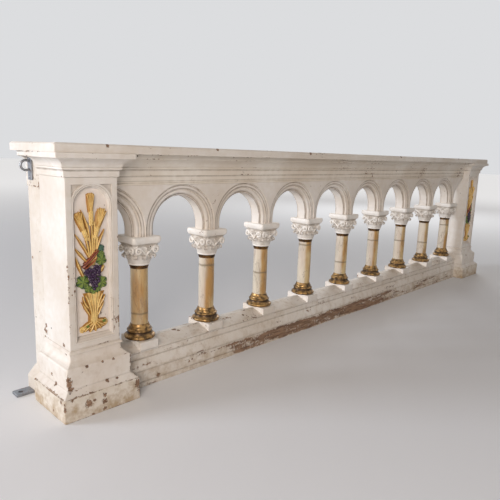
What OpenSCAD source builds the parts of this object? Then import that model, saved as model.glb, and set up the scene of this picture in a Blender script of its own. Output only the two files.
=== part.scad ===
// Painted communion rail with an open round-arched arcade between two carved end piers.
// X runs along the rail, Y runs from front (-) to back (+), Z is up; the floor is Z = 0.
// X = 0 is the middle of the rail and Y = 0 is the line of the column centres.

/* [Overall] */
// Height of the rail from the floor to the top of the slab
rail_h = 760; // [600:5:1000]
// Length over the outer faces of the two piers
rail_l = 2819; // [1800:1:4000]
// Number of columns in the arcade
columns = 9; // [3:1:9]

/* [Top slab] */
// Thickness of the top slab
slab_t = 25; // [18:1:45]
// Overhang of the slab in front of the piers
slab_front = 31; // [10:1:60]
// Overhang of the slab past the end faces of the piers
slab_end = 38; // [10:1:70]
// Distance from the column line to the back edge of the slab
slab_back = 182; // [120:1:220]

/* [Piers] */
// Width of a pier along the rail
pier_w = 155; // [100:1:220]
// Depth of a pier
pier_d = 158; // [100:1:220]
// Height of the plinth block
plinth_h = 69; // [40:1:110]
// Projection of the plinth block
plinth_out = 42; // [20:1:60]
// Projection of the middle base block
block_out = 23; // [8:1:40]
// Height at which the pier base ends
base_top = 190; // [140:1:240]
// Height of the crown mouldings under the slab
crown_h = 64; // [50:1:100]
// Projection of the crown and of the cornice
crown_out = 39; // [15:1:50]

/* [Sunk panels] */
// Half width of the sunk border
border_half = 61; // [40:1:70]
// Depth of the sunk border
border_deep = 6; // [2:1:12]
// Half width of the sunk field
field_half = 47; // [30:1:60]
// Depth of the sunk field
field_deep = 20; // [10:1:35]
// Height of the foot of the border
panel_z = 212; // [195:1:260]
// Drop from the crown mouldings to the centre of the round head
panel_drop = 80; // [65:1:120]
// Relief of the carving on the sunk field
relief_t = 15; // [5:1:18]

/* [Arcade] */
// Distance from a pier's inner face to the nearest column centre
end_gap = 120.5; // [90:0.5:200]
// Width of the moulded band round an arch opening
band_w = 38.75; // [20:0.25:60]
// Upright stretch between a capital and the round of an arch
stilt = 19; // [10:1:60]
// Height of the plain frieze over the arches
frieze_h = 27; // [15:1:60]
// Thickness of the arch wall
wall_t = 82; // [50:1:120]
// Thickness left at the inner edge of an arch
inner_t = 40; // [20:1:80]

/* [Columns] */
// Radius of a column shaft
shaft_r = 28; // [15:0.5:40]
// Height of the top of the square blocks
seat_z = 146; // [120:1:180]
// Height of the top of a column base
foot_z = 198; // [170:1:230]
// Radius of the lowest ring of a column base
foot_r = 50; // [30:0.5:60]
// Height of a capital over the necking
capital_h = 99; // [60:1:140]
// Width of the abacus
abacus_w = 104; // [70:1:140]
// Thickness of the abacus
abacus_t = 23; // [12:1:40]

/* [Base rail] */
// Half depth of the base rail at the floor
sill_half = 66.5; // [45:0.5:90]
// Height of the ridge of the base rail
ridge_z = 139; // [110:1:160]
// Width of a square block along the rail
seat_w = 68; // [50:1:110]
// Depth of a square block from front to back
seat_d = 116; // [90:1:130]
// Height of a square block
seat_h = 32; // [20:1:60]

/* [Back post and hardware] */
// Depth of the post behind the left pier
post_d = 81; // [40:1:100]
// Projection of the sloped foot of the post
post_foot = 25; // [10:1:40]
// Wall of the steel fittings
steel_t = 5; // [3:0.5:8]
// Radius of the hook ring to the middle of its rod
ring_r = 14; // [10:0.5:24]
// Width of the hook plate
plate_w = 25.5; // [16:0.5:30]
// Height of the hook plate
plate_h = 68; // [50:1:90]
// Width of the steel straps
strap_w = 39; // [20:1:50]

/* [Hidden] */
$fn = 64;
eps = 0.01;
half_l = rail_l / 2;
pier_x = half_l - pier_w / 2;
inner_x = half_l - pier_w;
under = rail_h - slab_t;
crown_z = under - crown_h;
frieze_z = crown_z - frieze_h;
first_x = end_gap - inner_x;
pitch = -2 * first_x / (columns - 1);
arch_r = pitch / 2 - band_w;
centre_z = frieze_z - pitch / 2 - 0.25;
spring_z = centre_z - stilt;
neck_z = spring_z - capital_h;
foot_h = foot_z - seat_z;
block_z = plinth_h + 14;
panel_foot = panel_z + 16;
panel_arch_z = crown_z - panel_drop;
// one unit of the carving's drawing, which is 94 units wide and 410 high
relief_unit = min(field_half / 47, (panel_arch_z + field_half - panel_foot) / 410);
post_y = pier_d / 2;
post_head = under - 14;
plate_y = post_y + 0.47 * post_d;

// Columns, arches, capitals and shafts are numbered from the left.

// A moulding profile that is as wide as its run, seen from the side.
module cornice_2d(h) {
  difference() {
    union() {
      translate([-h, crown_z]) square([2 * h, under - crown_z]);
      translate([-h - 5, crown_z]) square([2 * h + 10, under - crown_z]);
      translate([-h - 11, crown_z + 19]) square([2 * h + 22, under - crown_z - 19]);
      translate([-h - crown_out, crown_z + 26])
        square([2 * (h + crown_out), under - crown_z - 26]);
    }
    for (s = [-1, 1]) {
      translate([s * (h + crown_out), crown_z + 22]) circle(r = crown_out - 11);
      translate([s * (h + crown_out + 20 - 11), crown_z + 20])
        square([40, 12], center = true);
    }
  }
}

module base_2d(h) {
  difference() {
    union() {
      translate([-h, plinth_h]) square([2 * h, base_top - plinth_h]);
      translate([-h - 3, plinth_h]) square([2 * h + 6, base_top - 2 - plinth_h]);
      translate([-h - block_out, plinth_h])
        square([2 * (h + block_out), 108 - 4]);
      polygon([
        [-h - plinth_out + 2, plinth_h], [h + plinth_out - 2, plinth_h],
        [h + block_out, block_z], [-h - block_out, block_z]
      ]);
    }
    for (s = [-1, 1])
      translate([s * (h + block_out + 7), 172]) circle(r = 27);
  }
}

// The same profile on all four sides of a pier, with mitred corners.
module mitred_crown(w, d) {
  intersection() {
    rotate([90, 0, 0]) linear_extrude(height = 2 * d, center = true) cornice_2d(w / 2);
    rotate([90, 0, 90]) linear_extrude(height = 2 * w, center = true) cornice_2d(d / 2);
  }
}

module mitred_base(w, d) {
  intersection() {
    rotate([90, 0, 0]) linear_extrude(height = 2 * d, center = true) base_2d(w / 2);
    rotate([90, 0, 90]) linear_extrude(height = 2 * w, center = true) base_2d(d / 2);
  }
}

module top_slab() {
  back = slab_back;
  front = pier_d / 2 + slab_front;
  color("#efe9dc") translate([0, 0, under])
    translate([-half_l - slab_end, -front, 0])
      cube([rail_l + 2 * slab_end, front + back, slab_t]);
}

module entablature_2d() {
  translate([-wall_t / 2, frieze_z]) square([wall_t, under - frieze_z]);
  cornice_2d(wall_t / 2);
  translate([-wall_t / 2 - 3, frieze_z]) square([wall_t + 6, 5]);
  translate([-wall_t / 2 - 2, crown_z - 14]) square([wall_t + 4, 15]);
}

module entablature() {
  color("#e8e1d3") translate([-inner_x, 0, 0])
    rotate([90, 0, 90]) linear_extrude(height = 2 * inner_x) entablature_2d();
}

// Half of the base rail profile, from the ridge down to the floor.
module sill_half_2d(side) {
  polygon([
    [0, 0], [0, ridge_z], [side * 58, 120], [side * 58, 117], [side * 54, 117],
    [side * 54, 90], [side * 57, 90], [side * 57, 86], [side * 66, 64],
    [side * 66, 56], [side * 63, 56], [side * 63, 14], [side * sill_half, 14],
    [side * sill_half, 0]
  ]);
}

module base_rail() {
  color("#ddd5c6") difference() {
    translate([-inner_x, 0, 0]) rotate([90, 0, 90])
      linear_extrude(height = 2 * inner_x) {
        sill_half_2d(-1);
        sill_half_2d(1);
      }
    for (k = [0 : columns - 1])
      translate([first_x + k * pitch - seat_w / 2, -sill_half - 4, seat_z - seat_h])
        cube([seat_w, 2 * sill_half + 8, 2 * seat_h]);
    // the piers' plinths and bases stand over the ends of the rail
    for (s = [-1, 1]) translate([s * pier_x, 0, 0]) pier_foot_space();
  }
}

module pier_foot_space() {
  w = pier_w + 2 * plinth_out;
  d = pier_d + 2 * plinth_out;
  translate([-w / 2, -d / 2, -1]) cube([w, d, plinth_h + 1]);
  mitred_base(pier_w, pier_d);
}

module column_blocks() {
  color("#e9e2d6") for (k = [0 : columns - 1])
    translate([first_x + k * pitch - seat_w / 2, -seat_d / 2, seat_z - seat_h])
      cube([seat_w, seat_d, seat_h]);
}

module arch_opening(r) {
  translate([0, centre_z]) circle(r = r);
  translate([-r, spring_z - 1]) square([2 * r, centre_z - spring_z + 1]);
}

// A slice of the arch wall: the wider the opening, the thicker the wall behind it.
module arch_layer(left, right, r, t) {
  rotate([90, 0, 0]) linear_extrude(height = t, center = true) difference() {
    translate([-left, spring_z]) square([left + right, frieze_z - spring_z]);
    arch_opening(r);
  }
}

module arch(k) {
  left = k == 1 ? inner_x + first_x - pitch / 2 : pitch / 2;
  right = k == columns + 1 ? inner_x + first_x - pitch / 2 : pitch / 2;
  mid = first_x + (k - 1.5) * pitch;
  color("#e6decf") translate([mid, 0, 0]) {
    arch_layer(left, right, arch_r, inner_t);
    arch_layer(left, right, arch_r + 8, inner_t + 22);
    arch_layer(left, right, arch_r + 21, wall_t - 8);
    arch_layer(left, right, pitch / 2 - 3, wall_t);
  }
}

module abacus_2d() {
  a = abacus_w / 2;
  hollow_r = 1.77 * a;
  intersection() {
    difference() {
      square(2 * a, center = true);
      for (t = [0 : 90 : 270]) rotate(t)
        translate([0.89 * a + hollow_r, 0]) circle(r = hollow_r);
    }
    rotate(45) square(2 * a * 1.32, center = true);
  }
}

module capital(k) {
  low = spring_z - abacus_t;
  a = abacus_w / 2;
  color("#f3efe6") translate([first_x + (k - 1) * pitch, 0, 0]) {
    translate([0, 0, low]) linear_extrude(height = abacus_t) abacus_2d();
    translate([0, 0, neck_z + 6])
      cylinder(h = low - neck_z - 6, r1 = shaft_r + 2, r2 = 0.88 * a);
    for (t = [45 : 90 : 315]) rotate(t)
      translate([1.04 * a, 0, low - 0.31 * a]) rotate([90, 0, 0])
        cylinder(h = 0.38 * a, r = 0.23 * a, center = true);
  }
}

module column(k) {
  color("#c8a25a") translate([first_x + (k - 1) * pitch, 0, 0]) {
    translate([0, 0, seat_z]) cylinder(h = 0.33 * foot_h, r = foot_r);
    translate([0, 0, seat_z + 0.33 * foot_h])
      cylinder(h = 0.1 * foot_h, r = 0.82 * foot_r);
    translate([0, 0, seat_z + 0.43 * foot_h])
      cylinder(h = 0.2 * foot_h, r = 0.86 * foot_r);
    translate([0, 0, seat_z + 0.63 * foot_h])
      cylinder(h = 0.37 * foot_h, r1 = 0.76 * foot_r, r2 = 1.1 * shaft_r);
    translate([0, 0, foot_z]) cylinder(h = neck_z + 6 - foot_z, r = shaft_r);
    translate([0, 0, neck_z - 6]) cylinder(h = 12, r = shaft_r + 3);
  }
}

// The left plinth stops at the back of the pier, where the post stands behind it.
module plinth(s) {
  w = pier_w + 2 * plinth_out;
  back = s < 0 ? pier_d / 2 : pier_d / 2 + plinth_out;
  front = pier_d / 2 + plinth_out;
  color("#cfc4b0") translate([s * pier_x - w / 2, -front, 0])
    cube([w, front + back, plinth_h]);
}

// Everything behind the back of the left pier, from a height z upwards or downwards.
module behind_pier(z, h) {
  translate([-half_l - 2 * plinth_out, pier_d / 2, z])
    cube([pier_w + 4 * plinth_out, 2 * post_d, h]);
}

module pier_base(s) {
  color("#e4dccd") difference() {
    translate([s * pier_x, 0, 0]) mitred_base(pier_w, pier_d);
    if (s < 0) behind_pier(0, 2 * base_top);
  }
}

module panel_2d(h, foot) {
  translate([0, panel_arch_z]) circle(r = h);
  translate([-h, foot]) square([2 * h, panel_arch_z - foot]);
}

module pier(s) {
  front = -pier_d / 2;
  color("#ece5d8") translate([s * pier_x, 0, 0]) difference() {
    translate([-pier_w / 2, front, base_top]) cube([pier_w, pier_d, crown_z - base_top]);
    translate([0, front + border_deep, 0]) rotate([90, 0, 0])
      linear_extrude(height = border_deep + 1) panel_2d(border_half, panel_z);
    translate([0, front + field_deep, 0]) rotate([90, 0, 0])
      linear_extrude(height = field_deep + 1) panel_2d(field_half, panel_foot);
    translate([0, front + 4, 0]) rotate([90, 0, 0]) linear_extrude(height = 5)
      difference() {
        translate([-border_half - 1, panel_arch_z + 20])
          square([2 * border_half + 2, border_half - 19]);
        translate([0, panel_arch_z]) circle(r = border_half + 5);
      }
  }
}

module crown(s) {
  color("#ece5d8") {
    difference() {
      union() {
        translate([s * pier_x, 0, 0]) mitred_crown(pier_w, pier_d);
        if (s < 0) translate([-half_l - 27, 0, post_head])
          cube([pier_w + 27, pier_d / 2 + post_d, under - post_head]);
      }
      // the cornice of the arcade runs into the inner side of the crown
      translate([-inner_x, 0, 0]) rotate([90, 0, 90])
        linear_extrude(height = 2 * inner_x) entablature_2d();
      if (s < 0) behind_pier(0, post_head);
    }
    // a short cove carries the board behind the hook plate
    if (s < 0) translate([-half_l - 27, pier_d / 2 + post_d, post_head - 26])
      rotate([90, 0, 0]) linear_extrude(height = pier_d / 2 + post_d - plate_y - plate_w - 3)
        difference() {
          square([27, 26.5]);
          circle(r = 25.5);
        }
  }
}

// A carved ear or stem and its place in the drawing, which starts at the field's foot.
module ear_2d(x, z, tilt, long, wide) {
  translate([x, z]) rotate(tilt) {
    square([wide, long], center = true);
    translate([0, long / 2]) circle(r = wide / 2);
    translate([0, -long / 2]) circle(r = wide / 2);
  }
}

module relief_2d() {
  ear_2d(2, 372, -14, 34, 24);
  ear_2d(-30, 320, 22, 46, 18);
  ear_2d(31, 324, -18, 46, 20);
  ear_2d(-10, 272, 14, 110, 16);
  ear_2d(12, 272, -10, 110, 16);
  translate([0, 218]) rotate(24) square([54, 24], center = true);
  translate([-2, 170]) circle(r = 29);
  translate([20, 218]) circle(r = 17);
  translate([-26, 158]) circle(r = 17);
  translate([24, 144]) circle(r = 18);
  ear_2d(-2, 88, 0, 90, 22);
  translate([0, 18]) square([84, 28], center = true);
  translate([0, 34]) circle(r = 24);
}

module relief(s) {
  back = -pier_d / 2 + field_deep;
  color("#a98136") translate([s * pier_x, back, panel_foot]) rotate([90, 0, 0])
    linear_extrude(height = relief_t) scale(relief_unit) relief_2d();
}

// The sloped foot and the thicker head of the post, seen along the rail.
module post_2d() {
  translate([post_y, 0]) square([post_d, post_head]);
  translate([post_y, post_head - 86]) square([post_d + 8, 86]);
}

module post_foot_2d() {
  polygon([
    [0, 0], [0, 3 * post_foot], [-post_foot, 1.8 * post_foot], [-post_foot, 0]
  ]);
}

module back_post() {
  color("#f1ece2") {
    translate([-half_l, 0, 0]) rotate([90, 0, 90]) linear_extrude(height = pier_w) post_2d();
    translate([-half_l, post_y + post_d + 8, 0]) rotate([90, 0, 0])
      linear_extrude(height = post_d + 8) post_foot_2d();
  }
}

module hook_bracket() {
  x = -half_l;
  rod = 0.7 * steel_t;
  color("#8d9296") {
    translate([x - steel_t, plate_y, post_head - 1 - plate_h])
      cube([steel_t, plate_w, plate_h]);
    intersection() {
      translate([x - 3 * steel_t, plate_y + plate_w / 2, post_head - 27])
        rotate([90, 0, 0]) rotate_extrude()
          translate([ring_r, 0]) circle(r = rod);
      translate([x - 3 * steel_t - 2 * ring_r, plate_y, post_head - 27 - 2 * ring_r])
        cube([2.5 * steel_t + 2 * ring_r, plate_w, 4 * ring_r]);
    }
  }
}

module floor_lug() {
  y = post_y + post_d - strap_w;
  long = 2 * strap_w;
  color("#8d9296") difference() {
    translate([-half_l - long, y, 0])
      cube([long - post_foot, strap_w, 1.6 * steel_t]);
    translate([-half_l - long + 18, y + strap_w / 2, -1])
      cylinder(h = 4 * steel_t, r = 7);
  }
}

top_slab();
entablature();
base_rail();
column_blocks();
arch(1);  // arch_1
arch(2);  // arch_2
arch(3);  // arch_3
arch(4);  // arch_4
arch(5);  // arch_5
arch(6);  // arch_6
arch(7);  // arch_7
arch(8);  // arch_8
arch(9);  // arch_9
arch(10);  // arch_10
capital(1);  // capital_1
capital(2);  // capital_2
capital(3);  // capital_3
capital(4);  // capital_4
capital(5);  // capital_5
capital(6);  // capital_6
capital(7);  // capital_7
capital(8);  // capital_8
capital(9);  // capital_9
column(1);  // column_1
column(2);  // column_2
column(3);  // column_3
column(4);  // column_4
column(5);  // column_5
column(6);  // column_6
column(7);  // column_7
column(8);  // column_8
column(9);  // column_9
plinth(-1);  // left_plinth
plinth(1);  // right_plinth
pier_base(-1);  // left_pier_base
pier_base(1);  // right_pier_base
pier(-1);  // left_pier
pier(1);  // right_pier
crown(-1);  // left_crown
crown(1);  // right_crown
relief(-1);  // left_relief
relief(1);  // right_relief
back_post();
hook_bracket();
floor_lug();
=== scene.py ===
"""Painted communion rail, dressed round its CAD frame.

Nine gilded columns carry ten round arches between two carved end piers, under one flat slab.
Shapes are worked out in millimetres in the part's frame and stored in the meshes in metres.
"""
import math

import bmesh
import bpy
import numpy as np
from mathutils import Matrix, Vector


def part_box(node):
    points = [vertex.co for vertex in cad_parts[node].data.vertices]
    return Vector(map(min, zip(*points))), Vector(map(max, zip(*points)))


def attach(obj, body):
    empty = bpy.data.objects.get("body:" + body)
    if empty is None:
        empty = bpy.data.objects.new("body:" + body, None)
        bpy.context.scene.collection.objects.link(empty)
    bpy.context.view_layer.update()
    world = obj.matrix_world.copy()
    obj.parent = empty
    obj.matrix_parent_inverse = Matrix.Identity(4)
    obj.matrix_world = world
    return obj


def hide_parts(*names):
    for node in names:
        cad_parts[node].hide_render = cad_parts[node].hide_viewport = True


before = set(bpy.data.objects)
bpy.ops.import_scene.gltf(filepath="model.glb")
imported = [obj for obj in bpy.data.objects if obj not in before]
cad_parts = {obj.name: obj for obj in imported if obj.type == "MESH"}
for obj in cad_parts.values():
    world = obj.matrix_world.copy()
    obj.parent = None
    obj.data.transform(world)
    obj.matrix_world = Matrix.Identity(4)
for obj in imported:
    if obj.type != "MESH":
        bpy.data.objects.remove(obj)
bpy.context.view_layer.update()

# ---- Base rail -----------------------------------------------------------------------------
# A built-up softwood rail: a low ridged top, a weathered set-off and a fascia down to the floor.
# Old oil paint over the wood, scuffed to brown along the fascia by feet and by damp.


def box_mm(node):
    """Lowest and highest corner of a CAD node, in millimetres."""
    return [np.array(corner) * 1000 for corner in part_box(node)]


def plan_mm(node):
    """Middle and half size of a CAD node in plan, in millimetres."""
    low, high = box_mm(node)
    return (low + high)[:2] / 2, (high - low)[:2] / 2


def full_turn(count):
    """The angles of a whole turn in even steps."""
    return np.arange(count) / count * 2 * math.pi


def rotated(u, v, degrees):
    """The point (u, v) turned about the origin."""
    c, s = math.cos(math.radians(degrees)), math.sin(math.radians(degrees))
    return u * c - v * s, u * s + v * c


def ray_to_box(across, up, half_width, rise):
    """How far a ray in the direction (across, up) runs before it leaves a box about its start."""
    return np.minimum(half_width / np.maximum(np.abs(across), 1e-6), rise / np.maximum(up, 1e-6))


def unit_tangent(path):
    """The unit direction of a path at each of its points."""
    tangent = np.gradient(path, axis=0)
    return tangent / np.linalg.norm(tangent, axis=1)[:, None]


def rod_rings(path, aside, other, radius, around):
    """Circles along a path, each spanned by two unit directions: cos a aside + sin a other."""
    turn = full_turn(around)[None, :, None]
    circle = np.cos(turn) * aside[:, None] + np.sin(turn) * other[:, None]
    return path[:, None] + circle * np.broadcast_to(radius, len(path))[:, None, None]


def eased(outline, ease=1.6, flank=6.0, closed=True):
    """Points of an outline with its corners worn round, and how proud each point is.

    A corner P becomes two flank points, two points at the ease distance from P on either side and
    the middle of the parabola between them, (2P + A + B) / 4. A corner that sticks out is +1, one
    that is sunk is -1, in proportion to its turn up to a right angle; flanks and flats are 0."""
    p = np.asarray(outline, float)
    back, ahead = np.roll(p, 1, 0) - p, np.roll(p, -1, 0) - p
    long_back, long_ahead = np.linalg.norm(back, axis=1), np.linalg.norm(ahead, axis=1)
    back, ahead = back / long_back[:, None], ahead / long_ahead[:, None]
    turn = np.arctan2(-(back[:, 0] * ahead[:, 1] - back[:, 1] * ahead[:, 0]),
                      -(back * ahead).sum(1))
    corner = np.abs(turn) > math.radians(27)
    if not closed:
        corner[[0, -1]] = False
    cut_back, cut_ahead = np.minimum(ease, 0.3 * long_back), np.minimum(ease, 0.3 * long_ahead)
    far_back, far_ahead = np.minimum(flank, 0.45 * long_back), np.minimum(flank, 0.45 * long_ahead)
    a, b = p + back * cut_back[:, None], p + ahead * cut_ahead[:, None]
    middle = np.where(corner[:, None], (2 * p + a + b) / 4, p)
    five = np.stack([p + back * far_back[:, None], a, middle, b, p + ahead * far_ahead[:, None]], 1)
    proud = np.sign(turn) * np.minimum(1, np.abs(turn) / (math.pi / 2))
    proud = np.where(corner, proud, 0)[:, None] * np.array([0, 1, 1, 1, 0])
    keep = corner[:, None] | np.array([False, False, True, False, False])
    return five[keep], proud[keep]


def surface(grid, proud=0.0, capped=True):
    """A tube of points (rows, columns, 3) as corners, faces and the proud value of each point.

    Quads join the neighbours, each row closes on itself, and capped closes the first and last
    rows with one face each."""
    rows, columns = grid.shape[:2]
    index = np.arange(rows * columns).reshape(rows, columns)
    ring = np.concatenate([index, index[:, :1]], 1)
    quads = np.stack([ring[:-1, :-1], ring[:-1, 1:], ring[1:, 1:], ring[1:, :-1]], -1)
    faces = quads.reshape(-1, 4).tolist()
    if capped:
        faces += [index[0][::-1].tolist(), index[-1].tolist()]
    return grid.reshape(-1, 3), faces, np.broadcast_to(proud, (rows, columns)).reshape(-1)


def piece(name, parts, finish, stands_for=(), sharp=32.0, weighted=True):
    """Joins surfaces into one piece that rides on the rail, with its finish and proud values."""
    corners, faces, proud, start = [], [], [], 0
    for points, part_faces, part_proud in parts:
        corners.append(points)
        faces += [[i + start for i in face] for face in part_faces]
        proud.append(part_proud)
        start += len(points)
    mesh = bpy.data.meshes.new(name)
    mesh.from_pydata((np.concatenate(corners) / 1000).tolist(), [], faces)
    shell = bmesh.new()
    shell.from_mesh(mesh)
    bmesh.ops.recalc_face_normals(shell, faces=shell.faces)
    shell.to_mesh(mesh)
    shell.free()
    mesh.attributes.new("proud", "FLOAT", "POINT").data.foreach_set("value", np.concatenate(proud))
    mesh.shade_smooth()
    mesh.set_sharp_from_angle(angle=math.radians(sharp))
    mesh.materials.append(finish)
    made = bpy.data.objects.new(name, mesh)
    bpy.context.scene.collection.objects.link(made)
    if weighted:
        even = made.modifiers.new("even_faces", "WEIGHTED_NORMAL")
        even.keep_sharp = True
    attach(made, "root")
    if stands_for:
        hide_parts(*stands_for)


def milled(outline, start, end, ease=1.6, every=140.0):
    """A closed outline of (y, z) points carried straight along X from start to end."""
    points, proud = eased(outline, ease)
    stations = np.linspace(start, end, max(2, int(abs(end - start) / every) + 1))
    grid = np.empty((len(stations), len(points), 3))
    grid[..., 0] = stations[:, None]
    grid[..., 1:] = points
    return surface(grid, proud)


def carried(section, depths):
    """A closed section of (x, z) points repeated at each depth along Y."""
    grid = np.empty((len(depths), len(section), 3))
    grid[..., 0], grid[..., 2] = section.T
    grid[..., 1] = np.asarray(depths)[:, None]
    return grid


def linear(colour):
    """An sRGB hex colour as the linear RGBA that the shaders take."""
    srgb = np.array([int(colour[i : i + 2], 16) / 255 for i in (1, 3, 5)])
    rgb = np.where(srgb <= 0.04045, srgb / 12.92, ((srgb + 0.055) / 1.055) ** 2.4)
    return (*rgb.tolist(), 1.0)


def node(tree, kind, sockets=None, **settings):
    """Adds a shader node: settings are its properties, sockets its inputs, as values or outputs."""
    made = tree.nodes.new("ShaderNode" + kind)
    for key, value in settings.items():
        setattr(made, key, value)
    for key, value in (sockets or {}).items():
        if isinstance(value, bpy.types.NodeSocket):
            tree.links.new(value, made.inputs[key])
        else:
            made.inputs[key].default_value = value
    return made


def material(name):
    """An empty node material, its tree and the point in the part's frame, in metres."""
    finish = bpy.data.materials.new(name)
    finish.use_nodes = True
    tree = finish.node_tree
    tree.nodes.clear()
    return finish, tree, node(tree, "TexCoord").outputs["Object"]


def noise(tree, place, size_mm, detail, **more):
    """Fractal noise whose blotches are size_mm across."""
    sockets = {"Vector": place, "Scale": 1000 / size_mm, "Detail": detail, **more}
    return node(tree, "TexNoise", sockets).outputs["Fac"]


def ramp(tree, value, start, end, least=0.0, most=1.0, kind="LINEAR"):
    """Runs from least to most while the value runs from start to end, and stays flat past them."""
    sockets = {"Value": value, 1: start, 2: end, 3: least, 4: most}
    return node(tree, "MapRange", sockets, interpolation_type=kind).outputs[0]


def maths(tree, operation, *terms, clamp=False):
    """One arithmetic node on numbers or outputs."""
    return node(tree, "Math", dict(enumerate(terms)), operation=operation,
                use_clamp=clamp).outputs[0]


def blend(tree, share, first, second):
    """A colour between two, each an output or a hex colour."""
    first, second = (linear(c) if isinstance(c, str) else c for c in (first, second))
    return node(tree, "Mix", {0: share, 6: first, 7: second}, data_type="RGBA").outputs[2]


def stretched(tree, place, *scale):
    """The point scaled along X, Y and Z, so that a noise on it is drawn out where scale is low."""
    return node(tree, "Mapping", {"Vector": place, "Scale": scale}).outputs[0]


def proud_value(tree):
    """The mesh's own value for how proud a point is, from -1 to 1."""
    return node(tree, "Attribute", attribute_name="proud").outputs["Fac"]


def bump(tree, height, strength, distance, invert=False, **more):
    """A bumped normal; distance is in metres."""
    sockets = {"Height": height, "Strength": strength, "Distance": distance, **more}
    return node(tree, "Bump", sockets, invert=invert).outputs[0]


def closed_with(finish, tree, colour, roughness, **more):
    """Closes a material with one principled shader; _ stands for the spaces in a socket's name."""
    sockets = {"Base Color": colour, "Roughness": roughness}
    sockets.update({key.replace("_", " "): value for key, value in more.items()})
    skin = node(tree, "BsdfPrincipled", sockets)
    tree.links.new(skin.outputs[0], node(tree, "OutputMaterial").inputs["Surface"])
    return finish


def knocked(tree, place, scuffs, bare):
    """Adds knocks to the bare share: each scuff (x, y, z, radius), in millimetres, is a ball of
    bare wood whose skin is ragged, since the point is moved by noise before it is measured."""
    edge = node(tree, "TexNoise", {"Vector": place, "Scale": 1000 / 7, "Detail": 6.0,
                                   "Roughness": 0.7})
    shift = node(tree, "VectorMath", {0: edge.outputs["Color"], 1: (0.5, 0.5, 0.5)},
                 operation="SUBTRACT")
    for x, y, z, radius in scuffs:
        moved = node(tree, "VectorMath", {0: shift.outputs[0], "Scale": 3.4 * radius / 1000},
                     operation="SCALE")
        moved = node(tree, "VectorMath", {0: place, 1: moved.outputs[0]}, operation="ADD")
        away = node(tree, "VectorMath", {0: moved.outputs[0], 1: (x / 1000, y / 1000, z / 1000)},
                    operation="DISTANCE").outputs["Value"]
        hit = ramp(tree, away, radius / 1000, 0.8 * radius / 1000, kind="SMOOTHSTEP")
        bare = maths(tree, "MAXIMUM", bare, hit)
    return bare


def rubbed_fascia(tree, place, height, along, chip, bare):
    """Adds the long brown streaks on the foot of the rail to the bare share. The band lies from
    the floor to the set-off at 55 mm, fades in at the left and thins out to the right."""
    streaks = noise(tree, stretched(tree, place, 0.22, 1.0, 1.0), 26, 6.0, Roughness=0.65)
    band = maths(tree, "MULTIPLY", ramp(tree, height, 0.0, 0.006), ramp(tree, height, 0.055, 0.047))
    band = maths(tree, "MULTIPLY", band, ramp(tree, along, -1.02, -0.62))
    band = maths(tree, "MULTIPLY", band, ramp(tree, along, 0.60, 0.20, 0.3, 1.0))
    rubbed = maths(tree, "ADD", maths(tree, "MULTIPLY", band, 0.26), streaks)
    rubbed = maths(tree, "MULTIPLY_ADD", chip, 0.5, rubbed)
    return maths(tree, "MAXIMUM", bare, ramp(tree, rubbed, 0.875, 0.965))


def oil_paint(name, coat, aged, worn=0.5, dirt_and_shade=0.5, scuffs=(), fascia=False, stain=0.0):
    """Brushed oil paint on softwood, decades old: cream, yellowing in clouds, with grime and
    painted shade darkening the sunk corners, and chips along the proud ones that show brown wood.
    The eye gets a soft eggshell sheen, faint brush marks and ragged dark-edged chips.

    worn, dirt and stain run from 0 to 1; dirt sets how dark the sunk corners go, grime and painted
    shade together, and stain is the brown damp mottling near the floor. scuffs are (x, y, z,
    radius)
    in millimetres: places knocked to the wood. fascia adds the band of brown scuffing along the
    foot of the rail."""
    finish, tree, place = material(name)
    proud = proud_value(tree)
    split = node(tree, "SeparateXYZ", {0: place})
    height, along = split.outputs["Z"], split.outputs["X"]

    paint = blend(tree, ramp(tree, noise(tree, place, 230, 3.0), 0.4, 0.62), coat, aged)
    mottle = noise(tree, place, 22, 5.0)
    paint = blend(tree, ramp(tree, mottle, 0.35, 0.7, 0.0, 0.22), paint, "#cdbda4")
    if stain:
        damp = maths(tree, "ADD", noise(tree, place, 34, 7.0, Roughness=0.68),
                     ramp(tree, height, 0.075, 0.0, -0.06, 0.10))
        paint = blend(tree, ramp(tree, damp, 0.44, 0.68, 0.0, stain), paint, "#a88d66")

    # painted shade with grime: the sunk corners are darkened, more where the mottling is dark
    sunk = maths(tree, "MULTIPLY", ramp(tree, proud, -0.1, -0.9, 0.0, dirt_and_shade), mottle)
    paint = blend(tree, maths(tree, "MULTIPLY", sunk, 1.7, clamp=True), paint, "#7d6a55")

    # chips: the proud corners, where a noise at chip size runs high
    chip = noise(tree, place, 9, 4.0, Roughness=0.6)
    chips = maths(tree, "ADD", chip, noise(tree, place, 120, 2.0))
    chips = maths(tree, "ADD", chips, ramp(tree, proud, 0.1, 1.0, 0.0, 0.32 * worn + 0.04))
    bare = ramp(tree, chips, 1.31, 1.35, kind="SMOOTHSTEP")
    bare = knocked(tree, place, scuffs, bare)
    if fascia:
        bare = rubbed_fascia(tree, place, height, along, chip, bare)

    # nail heads and knocks: one small dark spot in each 75 mm cell that the face happens to cut
    nails = node(tree, "TexVoronoi", {"Vector": place, "Scale": 1000 / 75}).outputs["Distance"]
    spot = ramp(tree, nails, 0.035, 0.025, kind="SMOOTHSTEP")

    grain = noise(tree, stretched(tree, place, 0.15, 1.0, 1.0), 6, 4.0)
    wood = blend(tree, ramp(tree, grain, 0.35, 0.65), "#a08269", "#6b5242")
    colour = blend(tree, spot, blend(tree, bare, paint, wood), "#3a2a1e")

    brush = noise(tree, stretched(tree, place, 0.12, 1.0, 0.5), 3.5, 3.0)
    marks = bump(tree, brush, 0.18, 0.0006)
    missing = maths(tree, "MAXIMUM", bare, spot)
    edge = bump(tree, missing, 0.7, 0.0012, invert=True, Normal=marks)
    return closed_with(finish, tree, colour, ramp(tree, missing, 0.0, 1.0, 0.48, 0.85), Normal=edge,
                       IOR=1.5)


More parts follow.
